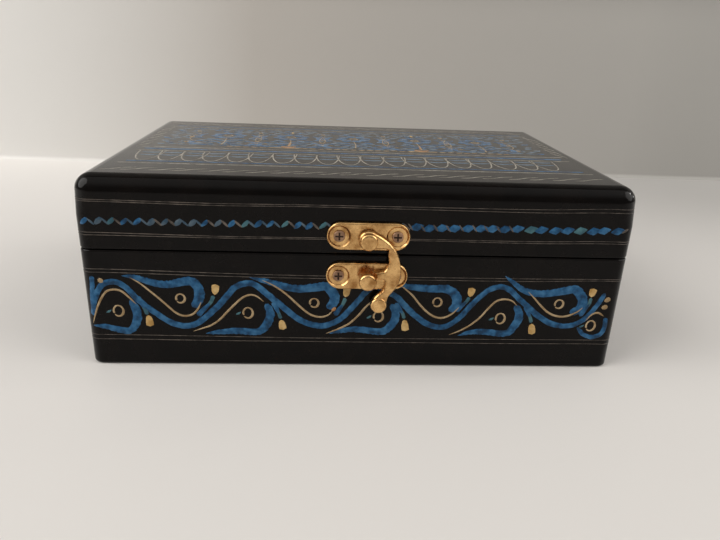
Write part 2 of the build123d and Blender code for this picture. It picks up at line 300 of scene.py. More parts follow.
def brass_material(name, stops, roughness, scratch):
    """Pressed brass, softly dented and brushed, its scratches this many millimetres deep."""
    material, tree, shader = uneven_material(name, stops, 3.5, 5.0)
    tree.links.new(
        spread(tree, noise_field(tree, 1.6), roughness - 0.06, roughness + 0.1), shader.inputs["Roughness"]
    )
    shader.inputs["Metallic"].default_value = 1.0
    dents = noise_field(tree, 3.2, 2.0)
    scratches = noise_field(tree, 0.12, 2.0, stretch=(0.08, 1, 1))
    tree.links.new(bump(tree, ((dents, 0.26), (scratches, scratch))), shader.inputs["Normal"])
    return material


def velvet_material():
    """Red velvet whose pile is brushed this way and that."""
    stops = ((0.3, (0.115, 0.007, 0.014)), (0.5, (0.15, 0.010, 0.019)), (0.7, (0.19, 0.014, 0.026)))
    material, tree, shader = uneven_material("velvet", stops, 9.0, 2.0)
    shader.inputs["Roughness"].default_value = 0.95
    shader.inputs["Specular IOR Level"].default_value = 0.1
    shader.inputs["Sheen Weight"].default_value = 0.8
    shader.inputs["Sheen Roughness"].default_value = 0.35
    shader.inputs["Sheen Tint"].default_value = (0.95, 0.32, 0.36, 1)
    pile = noise_field(tree, 0.35, 3.0)
    tree.links.new(bump(tree, ((pile, 0.25),)), shader.inputs["Normal"])
    return material


def shade_and_dirt_material():
    """Near black for the crosses of old screws: painted shade in their recesses, with some dirt."""
    stops = ((0.35, (0.012, 0.007, 0.005)), (0.65, (0.045, 0.024, 0.016)))
    material, tree, shader = uneven_material("screw_shade_and_dirt", stops, 0.6)
    shader.inputs["Roughness"].default_value = 0.75
    shader.inputs["Specular IOR Level"].default_value = 0.1
    tree.links.new(bump(tree, ((noise_field(tree, 0.2), 0.02),)), shader.inputs["Normal"])
    return material


LACQUER = lacquer_material()
BLUE = paint_material(
    "blue_paint",
    (0.011, 0.040, 0.088), (0.018, 0.086, 0.192), (0.045, 0.150, 0.285),
    places=(0.35, 0.49, 0.67),
)
TEAL = paint_material("teal_paint", (0.030, 0.085, 0.115), (0.075, 0.175, 0.20))
MIST = paint_material("mist_paint", (0.030, 0.062, 0.095), (0.095, 0.130, 0.160))
GOLD = paint_material("gold_paint", (0.27, 0.175, 0.085), (0.42, 0.31, 0.18), roughness=0.45, metallic=0.1)
LINE = paint_material("line_paint", (0.050, 0.042, 0.036), (0.150, 0.125, 0.105))
HAZE = paint_material("haze_paint", (0.045, 0.090, 0.140), (0.125, 0.180, 0.235))
PALE = paint_material("pale_paint", (0.16, 0.145, 0.12), (0.40, 0.37, 0.31))
BUD = paint_material("bud_paint", (0.40, 0.235, 0.075), (0.62, 0.43, 0.19), roughness=0.45, metallic=0.1)
ORANGE = paint_material("orange_paint", (0.29, 0.135, 0.055), (0.50, 0.27, 0.12))
BRASS = brass_material("brass", ((0.30, (0.34, 0.168, 0.055)), (0.62, (0.78, 0.485, 0.205))), 0.25, 0.004)
SCREW_BRASS = brass_material(
    "screw_brass", ((0.35, (0.24, 0.14, 0.09)), (0.7, (0.44, 0.28, 0.18))), 0.36, 0.006
)
VELVET = velvet_material()
SCREW_SHADE_AND_DIRT = shade_and_dirt_material()

# ---- The vine on the walls, as drawn on the front ----

# Each entry is a brush and its points. The middle repeat is left out on the short walls.
VINE = {
    "left": [
        (-92.5, 19.1), (-92.0, 23.1), (-90.3, 27.5), (-88.0, 30.9), (-84.0, 32.0), (-80.6, 30.2),
        (-77.3, 26.3), (-73.9, 22.8), (-70.8, 20.3), (-67.9, 18.0), (-64.7, 16.3), (-61.2, 15.5),
        (-57.6, 16.2), (-54.2, 18.6), (-51.2, 21.5), (-48.5, 24.3), (-45.9, 27.5), (-42.9, 30.8),
        (-38.9, 32.2), (-35.9, 31.4), (-31.3, 27.4), (-26.4, 23.0), (-21.9, 19.1), (-17.9, 17.0),
        (-13.2, 16.1), (-9.6, 17.0), (-6.3, 19.1), (-3.2, 22.5), (0.0, 26.5), (2.4, 29.6),
    ],
    "middle": [
        (5.9, 31.6), (12.6, 28.2), (16.3, 24.6), (20.2, 20.7), (24.8, 17.4), (29.4, 16.1), (33.1, 17.1),
        (36.9, 20.5), (40.3, 25.1), (43.4, 28.6), (46.4, 31.2),
    ],
    "right": [
        (50.1, 32.3), (53.6, 31.1), (57.1, 27.9), (61.0, 24.7), (64.7, 21.5), (69.5, 18.5), (74.2, 17.2),
        (77.8, 17.4), (81.0, 18.8), (84.1, 21.9), (86.7, 26.3), (88.5, 30.4),
    ],
}
SPRAYS = {
    "left": [
        ("wash", [(-91.3, 34.0), (-91.5, 30.5), (-92.0, 26.6), (-92.5, 20.1)]),
        ("scroll", [(-92.9, 16.0), (-90.9, 21.7), (-89.2, 25.3), (-87.0, 28.3), (-84.3, 29.1),
            (-81.9, 28.5), (-79.6, 26.3), (-77.3, 23.7)]),
        ("under", [(-92.9, 15.2), (-88.7, 15.0), (-85.3, 14.1), (-80.8, 13.4), (-78.8, 15.0), (-77.5, 18.0),
            (-77.6, 21.7), (-79.2, 25.3)]),
        ("eye", [(-83.6, 21.1)]),
        ("leaf", [(-81.4, 34.3), (-77.1, 33.8), (-73.5, 32.6), (-69.5, 31.5), (-65.5, 31.3), (-61.6, 32.2),
            (-58.2, 32.6), (-56.2, 30.9), (-55.5, 28.1), (-56.2, 25.1), (-58.2, 22.9)]),
        ("scroll", [(-78.7, 33.7), (-75.6, 31.7), (-72.5, 28.9), (-69.3, 25.9), (-66.5, 23.0),
            (-63.9, 20.5), (-61.2, 19.4), (-58.4, 20.0), (-56.4, 22.1), (-55.0, 24.9)]),
        ("eye", [(-62.1, 26.1)]),
        ("stem", [(-75.8, 24.5), (-74.7, 22.1), (-73.8, 19.7)]), ("bud", [(-73.5, 19.5), (-73.2, 15.2)]),
        ("stem", [(-54.4, 21.9), (-52.0, 24.5), (-50.6, 27.3)]), ("bud", [(-50.3, 27.7), (-49.8, 31.6)]),
        ("dab", [(-89.4, 32.9), (-87.7, 31.8)]),
        ("scroll", [(-58.3, 13.5), (-55.2, 14.6), (-52.2, 15.8), (-49.2, 17.9), (-46.2, 21.2),
            (-43.4, 24.2), (-40.6, 26.8), (-38.1, 27.8), (-35.8, 27.3), (-33.4, 25.3)]),
        ("under", [(-54.0, 12.6), (-48.7, 13.3), (-42.4, 13.8), (-36.3, 13.4), (-33.6, 15.0), (-31.7, 18.3),
            (-31.3, 21.5), (-32.8, 24.5)]),
        ("eye", [(-39.0, 20.9)]),
        ("leaf", [(-38.1, 34.4), (-32.5, 33.0), (-27.7, 31.6), (-23.7, 30.6), (-19.8, 30.4), (-15.8, 30.9),
            (-11.8, 31.4), (-9.6, 29.4), (-8.6, 27.1), (-9.4, 24.7), (-11.3, 23.1)]),
        ("scroll", [(-33.9, 33.5), (-30.8, 32.0), (-27.7, 30.0), (-24.6, 27.4), (-22.0, 24.8),
            (-19.3, 22.2), (-16.6, 20.3), (-13.4, 19.6), (-10.7, 20.5), (-9.2, 22.3)]),
        ("eye", [(-15.8, 25.1)]),
        ("spark", [(-9.6, 22.0), (-8.1, 23.4)]),
        ("stem", [(-29.2, 23.1), (-28.2, 20.7), (-27.5, 18.7)]), ("bud", [(-27.4, 18.3), (-26.7, 14.4)]),
        ("stem", [(-7.2, 22.3), (-5.8, 24.5), (-4.8, 27.1)]), ("bud", [(-4.9, 27.5), (-4.2, 31.2)]),
    ],
    "middle": [
        ("scroll", [(-11.4, 13.1), (-7.4, 14.8), (-3.3, 17.1), (-0.2, 20.2), (2.6, 23.9), (5.3, 26.5)]),
        ("under", [(-10.3, 13.1), (-6.0, 14.3), (-1.0, 14.9), (4.1, 14.4), (8.5, 14.1), (11.0, 15.6),
            (12.9, 18.5), (13.2, 21.7), (11.5, 25.1)]),
        ("eye", [(7.1, 20.1)]),
        ("stem", [(14.3, 23.5), (15.8, 21.3), (16.5, 19.3)]), ("bud", [(16.6, 18.9), (17.2, 14.4)]),
        ("leaf", [(11.9, 33.0), (16.4, 31.9), (21.0, 31.4), (25.6, 31.1), (29.9, 31.2), (33.1, 30.0),
            (34.9, 27.1), (34.5, 24.3), (32.3, 22.7)]),
        ("scroll", [(13.5, 33.2), (16.0, 31.0), (19.0, 28.3), (21.5, 25.2), (24.4, 22.2), (27.5, 20.2),
            (30.5, 19.9), (33.5, 21.4), (35.9, 24.1)]),
        ("eye", [(27.9, 26.0)]),
        ("stem", [(36.5, 24.3), (38.3, 26.3), (39.3, 28.1)]), ("bud", [(39.4, 28.3), (40.0, 31.8)]),
    ],
    "right": [
        ("scroll", [(33.3, 13.1), (37.5, 15.0), (40.8, 17.2), (43.9, 20.1), (46.5, 23.7), (49.0, 26.5),
            (51.8, 27.5), (54.8, 26.9), (56.9, 25.1)]),
        ("under", [(36.5, 12.8), (41.7, 14.3), (46.9, 14.4), (51.6, 13.8), (55.0, 14.2), (56.7, 16.6),
            (58.0, 19.5), (57.9, 22.3), (56.3, 25.3)]),
        ("eye", [(51.4, 19.9)]),
        ("stem", [(61.1, 22.9), (62.3, 20.5), (63.1, 18.3)]), ("bud", [(63.3, 17.9), (63.9, 13.6)]),
        ("leaf", [(51.2, 36.4), (54.2, 34.2), (57.5, 31.6), (60.9, 30.3), (64.9, 29.8), (69.0, 30.2),
            (73.4, 31.0), (77.2, 31.6), (79.8, 29.2), (80.8, 26.3), (79.6, 23.7), (76.6, 22.6)]),
        ("scroll", [(60.3, 30.6), (62.9, 28.0), (65.6, 25.2), (68.7, 22.5), (72.1, 21.1), (75.6, 21.1),
            (79.2, 22.8), (81.2, 24.7)]),
        ("eye", [(72.2, 25.9)]),
        ("stem", [(81.9, 23.5), (83.3, 26.1), (83.6, 28.5)]), ("bud", [(83.6, 28.8), (84.0, 32.2)]),
        ("dab", [(88.7, 27.2), (90.8, 28.4)]),
        ("dab", [(88.1, 24.6), (90.4, 25.2)]),
        ("scroll", [(83.1, 19.4), (85.0, 21.9), (87.3, 22.6), (89.6, 21.3)]),
        ("wash", [(90.3, 20.7), (90.7, 16.8), (89.5, 13.8), (86.2, 12.8), (83.1, 13.9), (80.4, 16.8)]),
        ("eye", [(85.3, 17.4)]),
    ],
}
REPEAT = 44.9  # length of one repeat of the vine

# Widths along a stroke, how far its ends taper, how uneven its edges are, how deep its teeth are, and
# the step between its points.
BRUSHES = {
    "vine": ((2.1, 2.4, 2.4, 2.5, 2.3, 2.4, 2.2, 2.3, 2.0), (1.0, 2.2), 0.16),
    "wash": ((1.8, 2.0, 1.6), (0.8, 3.0), 0.2),
    "leaf": ((0.8, 2.0, 2.7, 2.9, 3.2, 3.6, 3.9, 3.0), (3.5, 1.8), 0.16, 0.32),
    "under": ((0.8, 1.9, 2.5, 2.7, 2.8, 3.3, 3.3, 2.4), (3.5, 1.8), 0.16, 0.3),
    "stalk": ((2.2, 1.8, 1.1), (0.8, 1.6), 0.12),
    "stem": ((0.8, 1.3, 1.5), (1.2, 0.5), 0.1),
    "scroll": ((0.4, 0.7, 0.8, 0.82, 0.8, 0.5), (5.0, 3.0), 0.05),
    "bud": ((1.6, 2.5, 2.9, 2.7), (0.8, 0.5), 0.16),
    "dab": ((1.2, 2.0, 1.7), (0.5, 0.6), 0.14),
    "spark": ((1.0, 1.5, 1.2), (0.5, 0.6), 0.12),
    "ring": ((0.85, 0.7, 0.5, 0.75, 0.95, 0.7, 0.45), (0.5, 0.6), 0.06, 0.0, FINE_STEP),
    "tail": ((0.4, 0.9, 0.5), (0.5, 0.5), 0.08, 0.0, FINE_STEP),
}
BRUSH_COLOURS = {
    "vine": "blue", "wash": "blue", "leaf": "blue", "under": "blue", "stalk": "blue",
    "stem": "teal", "tail": "teal", "scroll": "gold", "ring": "gold", "dab": "gold",
    "bud": "bud", "spark": "orange",
}
RING_START, RING_SWEEP, RING_POINTS = 208, 352, 15  # degrees, turning to the right
RING_GROWTH = 1.06  # its end lies this much further out than its start
UPPER_EYES = 23.5  # height above which an eye is one of the upper ones
UPPER_EYE, LOWER_EYE = (1.48, 1.6), (1.62, 1.95)  # half width and half height of the ring
WAVER_PACE = 0.06


def eye_ring(x, z, wide, high):
    """Points of the ring that is the eye of a paisley. Its ends just meet at its lower left."""
    turns = np.radians(np.linspace(RING_START, RING_START - RING_SWEEP, RING_POINTS))
    grow = np.linspace(1.0, RING_GROWTH, RING_POINTS)
    return [(x + wide * g * math.cos(a), z + high * g * math.sin(a)) for a, g in zip(turns, grow)]


def expand(entries):
    """Entries with each eye drawn as a ring, the lower ones with a tail, and each stem with its stalk."""
    for brush, points in entries:
        if brush == "eye":
            [(x, z)] = points
            yield "ring", eye_ring(x, z, *(UPPER_EYE if z > UPPER_EYES else LOWER_EYE))
            if z < UPPER_EYES:
                yield "tail", [(x - 2.4, z + 0.3), (x - 3.2, z - 0.3), (x - 4.2, z - 0.7)]
        elif brush == "stem":
            (x, z), (ahead_x, ahead_z), tip = points
            yield "stalk", [(x + 0.9 * (x - ahead_x), z + 0.9 * (z - ahead_z)), (x, z), (ahead_x, ahead_z)]
            yield "stem", [(x, z), (ahead_x, ahead_z), tip]
        else:
            yield brush, points


def wavered(points, seed, amount):
    """The points as another pass of the same hand would put them."""
    moved = []
    for x, z in points:
        place = (WAVER_PACE * x, WAVER_PACE * z)
        aside, up = (amount * noise.noise(Vector((*place, layer))) for layer in (seed, seed + 40))
        moved.append((x + aside, z + up))
    return moved


def vine_wall(centre, seed, amount, short=False):
    """The vine and its sprays on one wall, by colour. A short wall leaves out the middle repeat."""
    parts = [("left", 0.0), ("middle", 0.0), ("right", 0.0)]
    if short:
        parts = [("left", 0.0), ("right", -REPEAT)]
    vine = [(x + shift, z) for part, shift in parts for x, z in VINE[part]]
    entries = [("vine", vine)]
    for part, shift in parts:
        entries += [(b, [(x + shift, z) for x, z in points]) for b, points in expand(SPRAYS[part])]
    squeeze = WALL_Y / (WALL_X - REPEAT / 2) if short else 1.0
    middle = -REPEAT / 2 if short else 0.0
    drawn = {colour: [] for colour in set(BRUSH_COLOURS.values())}
    for brush, points in entries:
        points = [(centre + squeeze * (x - middle), z) for x, z in wavered(points, seed, amount)]
        drawn[BRUSH_COLOURS[brush]].append(stroke(points, *BRUSHES[brush]))
    return drawn


def paint_walls(kind, body, walls, paints):
    """The strokes on each wall, one piece for each paint. A thicker paint lies over a thinner one."""
    for wall, drawn in walls.items():
        for colour, material, thickness in paints:
            if drawn[colour]:
                add_paint(f"{wall}_{kind}_{colour}", body, material, drawn[colour], on_walls, thickness)


def paint_vines():
    """The vine all round the base."""
    walls = {
        "front": vine_wall(0.0, 0, 0.0),
        "right": vine_wall(RIGHT_CENTRE, 3, 1.6, short=True),
        "back": vine_wall(BACK_CENTRE, 6, 1.8),
        "left": vine_wall(LEFT_CENTRE, 9, 1.6, short=True),
    }
    paints = (("teal", TEAL, 0.07), ("blue", BLUE, 0.09), ("gold", GOLD, 0.13), ("bud", BUD, 0.15),
              ("orange", ORANGE, 0.17))
    paint_walls("vine", "base", walls, paints)


# ---- Fine lines round the walls ----

# Heights of each line at these places along the front. It wanders round the other walls.
LINE_X = (-87, -50, -20, 20, 60, 85)
LID_LINES = (
    (60.8, 60.4, 60.6, 60.7, 60.8, 61.5),
    (60.2, 59.7, 60.0, 59.9, 59.7, 60.2),
    (49.6, 49.1, 49.2, 49.4, 49.4, 49.9),
    (48.7, 48.5, 48.7, 48.9, 48.7, 49.1),
)
BASE_LINES = (
    (36.6, 35.8, 35.4, 35.4, 35.5, 35.7),
    (35.4, 34.7, 34.4, 34.4, 34.5, 35.1),
    (11.8, 11.5, 11.2, 11.3, 11.4, 11.5),
    (10.1, 9.8, 9.8, 9.7, 9.7, 9.9),
)
LINE_WIDTHS = (0.22, 0.18, 0.24, 0.17, 0.22)
LINE_WANDER = 0.16
LINE_THICKNESS = 0.05
LINE_STEP = 0.6


def border_line(heights):
    """A thin line right round the box and on over its own start."""
    middle = sum(heights) / len(heights)
    rest = np.linspace(LINE_X[-1], GIRTH + LINE_X[0], 20)[1:-1]
    points = [*zip(LINE_X, heights), *zip(rest, middle + rng.normal(0, LINE_WANDER, len(rest)))]
    first = [(s + GIRTH, z) for s, z in points[:2]]
    return stroke([*points, *first], LINE_WIDTHS, (0.01, 0.01), 0.02, step=LINE_STEP)


def paint_lines():
    """The lines above and below the rope and the vine."""
    for body, lines in (("lid", LID_LINES), ("base", BASE_LINES)):
        strokes = [border_line(heights) for heights in lines]
        add_paint(f"{body}_border_lines", body, LINE, strokes, on_walls, LINE_THICKNESS)


# ---- Rope border round the lid ----

ROPE_HEIGHT = 53.6
ROPE_PITCH = 4.36
ROPE_BRUSH = dict(tapers=(0.5, 0.5), ragged=0.08, step=0.3)
CORNER_REACH = 1.5  # how far the front's rope runs on into the corners


def rope(centre, half_length, beads_from):
    """Row of dabs along one wall: loose and slanting at first, closing up into beads after beads_from."""
    drawn = {"blue": [], "teal": [], "mist": [], "line": []}
    for x in np.arange(-half_length, half_length - ROPE_PITCH, ROPE_PITCH):
        x += rng.normal(0, 0.2)
        z = ROPE_HEIGHT + rng.normal(0, 0.12)
        if x < beads_from:  # one dab that rises and a thinner one that falls
            size = rng.uniform(0.8, 1.15)
            rise = [(x - 0.3, z - 1.1), (x + 0.9, z - 0.1), (x + 2.2, z + 1.1)]
            fall = [(x + 1.9, z + 1.1), (x + 3.1, z), (x + 4.3, z - 1.2)]
            drawn[rng.choice(("blue", "teal", "mist"))].append((rise, (0.9 * size, 1.9 * size, 1.3 * size)))
            drawn[rng.choice(("line", "mist"))].append((fall, (0.5, 0.85, 0.5)))
        else:  # a bead, with a slash before it at first
            bead = [(x - 0.2, z - 0.5), (x + 0.5 * ROPE_PITCH, z), (x + ROPE_PITCH + 0.2, z + 0.5)]
            drawn[rng.choice(("blue", "blue", "teal"))].append((bead, (0.4, 1.9, 3.1, 1.9, 0.4)))
            if x < 0.6 * half_length:
                slash = [(x - 0.9, z + 1.2), (x, z), (x + 0.9, z - 1.2)]
                drawn["line"].append((slash, (0.3, rng.uniform(0.6, 0.9), 0.3)))
    tail = half_length - 1.6
    last = [(tail - 0.8, ROPE_HEIGHT - 0.5), (tail + 1.4, ROPE_HEIGHT + 1.0)]
    drawn["line"].append((last, (0.6, 1.1, 0.5)))
    return {
        colour: [
            stroke([(centre + s, z) for s, z in points], widths, **ROPE_BRUSH)
            for points, widths in strokes
        ]
        for colour, strokes in drawn.items()
    }


def paint_rope():
    """The rope all round the lid."""
    walls = {
        "front": rope(0.0, WALL_X + CORNER_REACH, 15.0),
        "right": rope(RIGHT_CENTRE, WALL_Y, 30.0),
        "back": rope(BACK_CENTRE, WALL_X, -20.0),
        "left": rope(LEFT_CENTRE, WALL_Y, 10.0),
    }
    paints = (("teal", TEAL, 0.07), ("mist", MIST, 0.08), ("blue", BLUE, 0.09), ("line", LINE, 0.12))
    paint_walls("rope", "lid", walls, paints)


# ---- Top of the lid ----

HATCH_X, HATCH_Y = 86.0, 51.5  # rope of slanting strokes along the sides, and along the front and back
HATCH_PITCH = 8.2
ARC_TOP, ARC_FOOT, ARC_PITCH = -19.4, -36.4, 8.5  # the arcade of bowls
ARC_FIRST, ARC_LAST = -79.6, 80.5
POT_X = (-28.0, 28.0)  # gold pots
SPRAY_X = (-56.0, 0.0, 56.0)  # sprays without a pot
FIELD_X, FIELD_Y = 80.0, -5.0  # half width and ground line of the painted field
FIELD_DEPTH = 43.0
LARGE_FLOWER_Y, LARGE_FLOWER = 25.5, 8.2  # height over the ground line, and radius
SMALL_FLOWER_X = (-71.0, -42.0, -14.0, 14.0, 42.0, 71.0)
SMALL_FLOWERS = ((8.0, 3.6), (20.0, 4.4), (34.5, 4.0))
LEAF_ROW, LEAF_PITCH = 3.7, 4.3  # between rows, and between the leaves of a row
LEAF_GAP = 1.2  # between a leaf's middle and a flower
DOT_PITCH = 3.4
TOP_WANDER = 0.2


def hatch(start, end, fixed, along_x, flip=1):
    """Long slanting S strokes side by side along the front and back or along the sides."""
    strokes = []
    for s in np.arange(start, end, HATCH_PITCH):
        s += rng.normal(0, 0.5)
        points = [(s - 5.8, -2.0), (s - 2.4, -1.4), (s + 1.8, 0.9), (s + 5.8, 1.9)]
        points = [(a, fixed + flip * b) if along_x else (fixed + flip * b, a) for a, b in points]
        strokes.append(stroke(points, (0.3, 0.6, 0.6, 0.3), (1.5, 1.5), 0.08))
    return strokes


def top_line(y, start, end, width):
    """A line from left to right that wavers a little."""
    points = [(x, y + rng.normal(0, TOP_WANDER)) for x in np.linspace(start, end, 9)]
    return stroke(points, (width, 0.8 * width, width), (1.5, 1.5), 0.12 * width)


# One bowl of the arcade, from its left tip round its foot: shares of its half width and depth.
BOWL = (
    (-1.0, 0.0), (-0.95, 0.28), (-0.74, 0.68), (-0.36, 0.95),
    (0.08, 1.0), (0.52, 0.86), (0.84, 0.48), (1.0, 0.0),
)
BOWL_WIDTHS = (0.45, 0.65, 0.55, 0.6, 0.45)
WASHES = ((2.6, 2.6), (7.6, 2.2))  # how far under a bowl's tips, and how wide


def arcade():
    """A chain of bowls whose ends cross, and the blue wash inside each."""
    arcs, washes = [], []
    depth = ARC_FOOT - ARC_TOP
    for x in np.arange(ARC_FIRST, ARC_LAST, ARC_PITCH):
        x += rng.normal(0, 0.35)
        half = ARC_PITCH * rng.uniform(0.52, 0.6)
        arcs.append(stroke([(x + a * half, ARC_TOP + b * depth) for a, b in BOWL], BOWL_WIDTHS))
        for drop, width in WASHES:
            y = ARC_TOP - drop
            wash = [(x - 0.42 * ARC_PITCH, y), (x, y - 0.5), (x + 0.42 * ARC_PITCH, y + 0.2)]
            washes.append(stroke(wash, (0.5 * width, width, 0.6 * width), (1.2, 1.2), 0.3))
    return arcs, washes


def flower(x, y, radius, count):
    """Petals round a gold ring."""
    petals = []
    for k in range(count):
        angle = 2 * math.pi * k / count + 0.2
        reaches = (0.36 * radius, 0.7 * radius, radius)
        petal = [(x + r * math.cos(angle), y + r * math.sin(angle)) for r in reaches]
        petals.append(stroke(petal, (0.15 * radius, 0.62 * radius, 0.46 * radius), (0.8, 1.6), 0.2))
    return petals, stroke(eye_ring(x, y, 0.2 * radius, 0.2 * radius), (0.6, 0.8, 0.6), step=FINE_STEP)


def mirrored(x, points):
    """The points to the left and to the right of x, over the ground line."""
    return [[(x + side * a, FIELD_Y + b) for a, b in points] for side in (-1, 1)]


def tall_spray(x):
    """Leaves, a paisley either side, one large flower and a bud on a stem."""
    blue, gold = [], []
    for points, widths in (
        ([(0.8, 6.0), (3.4, 9.4), (7.4, 8.6)], (0.5, 2.8, 0.5)),
        ([(0.8, 11.5), (4.0, 14.6), (8.0, 13.4)], (0.5, 2.6, 0.4)),
        (
            [(3.0, 3.4), (8.0, 2.2), (12.0, 4.2), (13.2, 8.0), (11.0, 11.0), (8.6, 10.4)],
            (0.7, 2.2, 3.2, 3.0, 1.4),
        ),
        ([(9.6, 17.0), (12.6, 20.6), (12.0, 26.0), (9.4, 29.0)], (0.6, 3.0, 3.0, 0.8)),
        ([(1.0, 34.2), (3.4, 36.8), (3.6, 40.0)], (0.5, 2.3, 0.5)),
    ):
        blue += [stroke(p, widths, (1.2, 1.2), 0.25) for p in mirrored(x, points)]
    petals, ring = flower(x, FIELD_Y + LARGE_FLOWER_Y, LARGE_FLOWER, 8)
    stem = [(x, FIELD_Y + 3.0), (x + 0.4, FIELD_Y + 10.0), (x, FIELD_Y + 18.5)]
    gold += [ring, stroke(stem, (0.7, 0.5, 0.4))]
    for points in mirrored(x, [(9.4, 6.8), (14.6, 13.4), (15.0, 22.0), (12.9, 30.5)]):
        gold.append(stroke(points, (0.3, 0.45, 0.3)))
    return blue + petals, gold


def pot(x):
    """The gold pot and its foot under a spray, and the short stem with its bud."""
    gold = [stroke([(x - 6.0, FIELD_Y - 0.6), (x, FIELD_Y - 1.4), (x + 6.0, FIELD_Y - 0.6)], (0.8, 1.4, 0.8))]
    orange = [
        stroke([(x - 3.2, FIELD_Y + 2.0), (x, FIELD_Y + 0.6), (x + 3.2, FIELD_Y + 2.0)], (1.5, 3.0, 1.5)),
        stroke([(x, FIELD_Y + 4.0), (x + 0.3, FIELD_Y + 12.0)], (1.3, 0.9), (0.5, 0.5)),
    ]
    bud = [stroke([(x, FIELD_Y + 36.0), (x, FIELD_Y + 40.0)], (1.0, 1.6, 0.8), (0.8, 1.2), 0.1)]
    return gold, orange, bud


def small_flowers():
    """Petals, gold rings, and the round patches that the large and the small flowers take up."""
    petals, gold = [], []
    taken = [(x, FIELD_Y + LARGE_FLOWER_Y, LARGE_FLOWER + 0.8) for x in (*POT_X, *SPRAY_X)]
    for x in SMALL_FLOWER_X:
        for rise, radius in SMALL_FLOWERS:
            y = FIELD_Y + rise
            more, ring = flower(x + rng.normal(0, 0.5), y + rng.normal(0, 0.5), radius, 6)
            petals += more
            gold.append(ring)
            taken.append((x, y, radius + 0.8))
    return petals, gold, taken


def small_leaves(taken):
    """Leaves packed over the ground between the flowers, a fifth of them blue and the others hazy."""
    blue, haze = [], []
    for row, y in enumerate(np.arange(FIELD_Y + 1.5, FIELD_Y + FIELD_DEPTH, LEAF_ROW)):
        for x in np.arange(-FIELD_X + 2.0 * (row % 2), FIELD_X + 1.0, LEAF_PITCH):
            x, lean = x + rng.normal(0, 0.5), rng.choice((-1, 1))
            if any(math.hypot(x - a, y - b) < reach + LEAF_GAP for a, b, reach in taken):
                continue
            leaf = [(x - 1.9, y - 0.9 * lean), (x, y + rng.uniform(-0.3, 0.3)), (x + 1.9, y + 0.9 * lean)]
            colour = blue if rng.random() < 0.2 else haze
            colour.append(stroke(leaf, (0.8, rng.uniform(2.2, 3.3), 0.9), (0.8, 0.8), 0.2))
    return blue, haze


def ground_dots():
    """A row of gold dabs along the ground line."""
    dots = []
    for x in np.arange(-52.0, 66.0, DOT_PITCH):
        dab = [(x + side, FIELD_Y - 1.2 + rng.normal(0, 0.4)) for side in (-1.3, 1.3)]
        dots.append(stroke(dab, (0.6, 1.3, 0.6)))
    return dots


def filling():
    """Small flowers and leaves between the sprays, with dots of gold."""
    petals, rings, taken = small_flowers()
    blue, haze = small_leaves(taken)
    return blue, petals + haze, rings + ground_dots()


TOP_LINES = ((-42.0, 0.8), (-18.6, 0.7), (-10.8, 0.9), (41.5, 0.6))  # place from front to back, and width
TOP_BANDS = ((-38.6, 1.5), (-14.6, 2.4), (44.4, 1.4))


def paint_top():
    """The lid's top, one piece for each paint. A thicker paint lies over a thinner one."""
    arcs, washes = arcade()
    lines = [top_line(y, -86, 86, width) for y, width in TOP_LINES]
    bands = [top_line(y, -84, 84, width) for y, width in TOP_BANDS]
    hatches = hatch(-83, 86, -HATCH_Y, True) + hatch(-83, 86, HATCH_Y, True, -1)
    hatches += hatch(-6, 36, -HATCH_X, False) + hatch(-6, 36, HATCH_X, False, -1)
    blue, haze, gold = filling()
    orange, buds = [], []
    for x in (*POT_X, *SPRAY_X):
        for drawn, more in zip((blue, gold), tall_spray(x)):
            drawn += more
    for x in POT_X:
        for drawn, more in zip((gold, orange, buds), pot(x)):
            drawn += more
    for name, material, strokes, thickness in (
        ("top_haze", HAZE, haze + washes, 0.030),
        ("top_blue", BLUE, blue + bands, 0.045),
        ("top_pale", PALE, arcs + lines + hatches, 0.050),
        ("top_gold", GOLD, gold, 0.055),
        ("top_orange", ORANGE, orange, 0.050),
        ("top_buds", BUD, buds, 0.060),
    ):
        add_paint(name, "lid", material, strokes, on_top, thickness)


# ---- Velvet lining ----

BAND_THICKNESS = 1.0
BAND_EDGE = 0.45  # rounding of the free edge
BAND_CORNER = 1.4  # radius of the band's outside at the box's inner corners
BAND_STEP = 3.0
BAND_SWAY = 0.14  # how far its face swells out and in
PAD_INSETS = (0.0, 0.25, 0.7, 1.4)  # from the pad's edge, where it rounds over
PAD_MARGIN = 3.0  # from the edge to where the even spacing starts
PAD_RIM = 0.25  # thickness at the very edge
PAD_ROUNDING = 1.6
PAD_RIPPLE = 0.12


def node_box(node):
    """Lowest and highest corners of a node in millimetres."""
    low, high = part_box(node)
    return np.array(low) / MM, np.array(high) / MM


def band_outline(half_x, half_y):
    """Points round a rectangle, its corners turned through, and the outward direction at each."""
    path, out = [], []
    for turn, (side, end) in enumerate(((1, 1), (-1, 1), (-1, -1), (1, -1))):
        for angle in np.radians(np.linspace(90 * turn, 90 * turn + 90, 7)):
            path.append((side * half_x, end * half_y))
            out.append((math.cos(angle), math.sin(angle)))
    fine_path, fine_out = [], []
    for k in range(len(path)):
        a, b = np.array(path[k]), np.array(path[(k + 1) % len(path)])
        steps = max(1, round(np.hypot(*(b - a)) / BAND_STEP))
        for j in range(steps):
            fine_path.append(a + (b - a) * j / steps)
            fine_out.append(out[k])
    return np.array(fine_path), np.array(fine_out)


def band_section(glued, free, up):
    """How far out and how high each line round the band runs: up its back, over its free edge and down."""
    middle = BAND_CORNER - BAND_THICKNESS / 2
    turn = [(BAND_EDGE * math.sin(a), BAND_EDGE * math.cos(a)) for a in np.radians((-90, -50, 0, 50, 90))]
    edge = [(middle - s * BAND_THICKNESS / 2 / BAND_EDGE, free - up * (BAND_EDGE - h)) for s, h in turn]
    face = [(BAND_CORNER - BAND_THICKNESS, free - up * h) for h in np.linspace(4, abs(free - glued), 8)]
    return [(BAND_CORNER, glued), *edge, *face], middle


